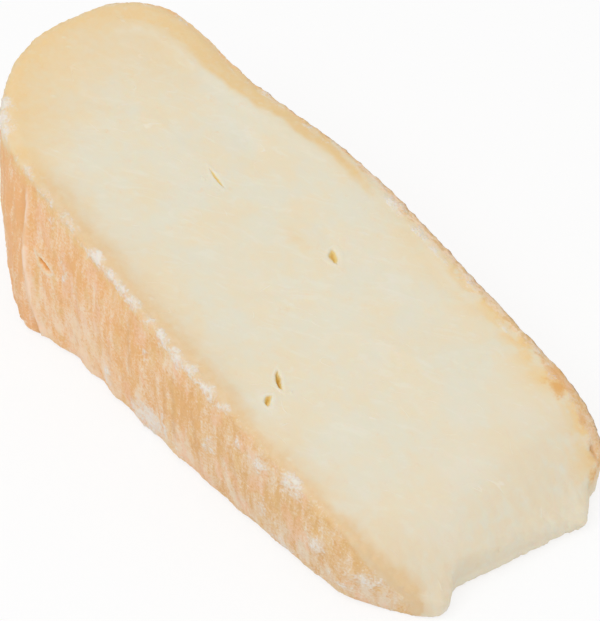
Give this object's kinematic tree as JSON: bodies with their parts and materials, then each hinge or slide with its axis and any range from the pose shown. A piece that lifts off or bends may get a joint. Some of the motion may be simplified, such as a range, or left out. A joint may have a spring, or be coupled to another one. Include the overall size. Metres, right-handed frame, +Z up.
{
  "type": "taleggio cheese wedge",
  "caption": "Cut wedge of soft washed-rind taleggio cheese lying on a cut face, with a thick bulged rind end and a thin torn tip.",
  "frame": {"origin": "centre of the wedge's footprint, on the surface it lies on", "axes": "+X along the wedge towards its thin torn tip, +Y towards the far broad rind, +Z up out of the upper cut face"},
  "size_m": [0.1266, 0.0578, 0.0439],
  "materials": {
    "cheese": "soft matte, faintly moist on the cut face"
  },
  "bodies": {
    "root": {"cheese_wedge": "cheese"}
  },
  "joints": []
}
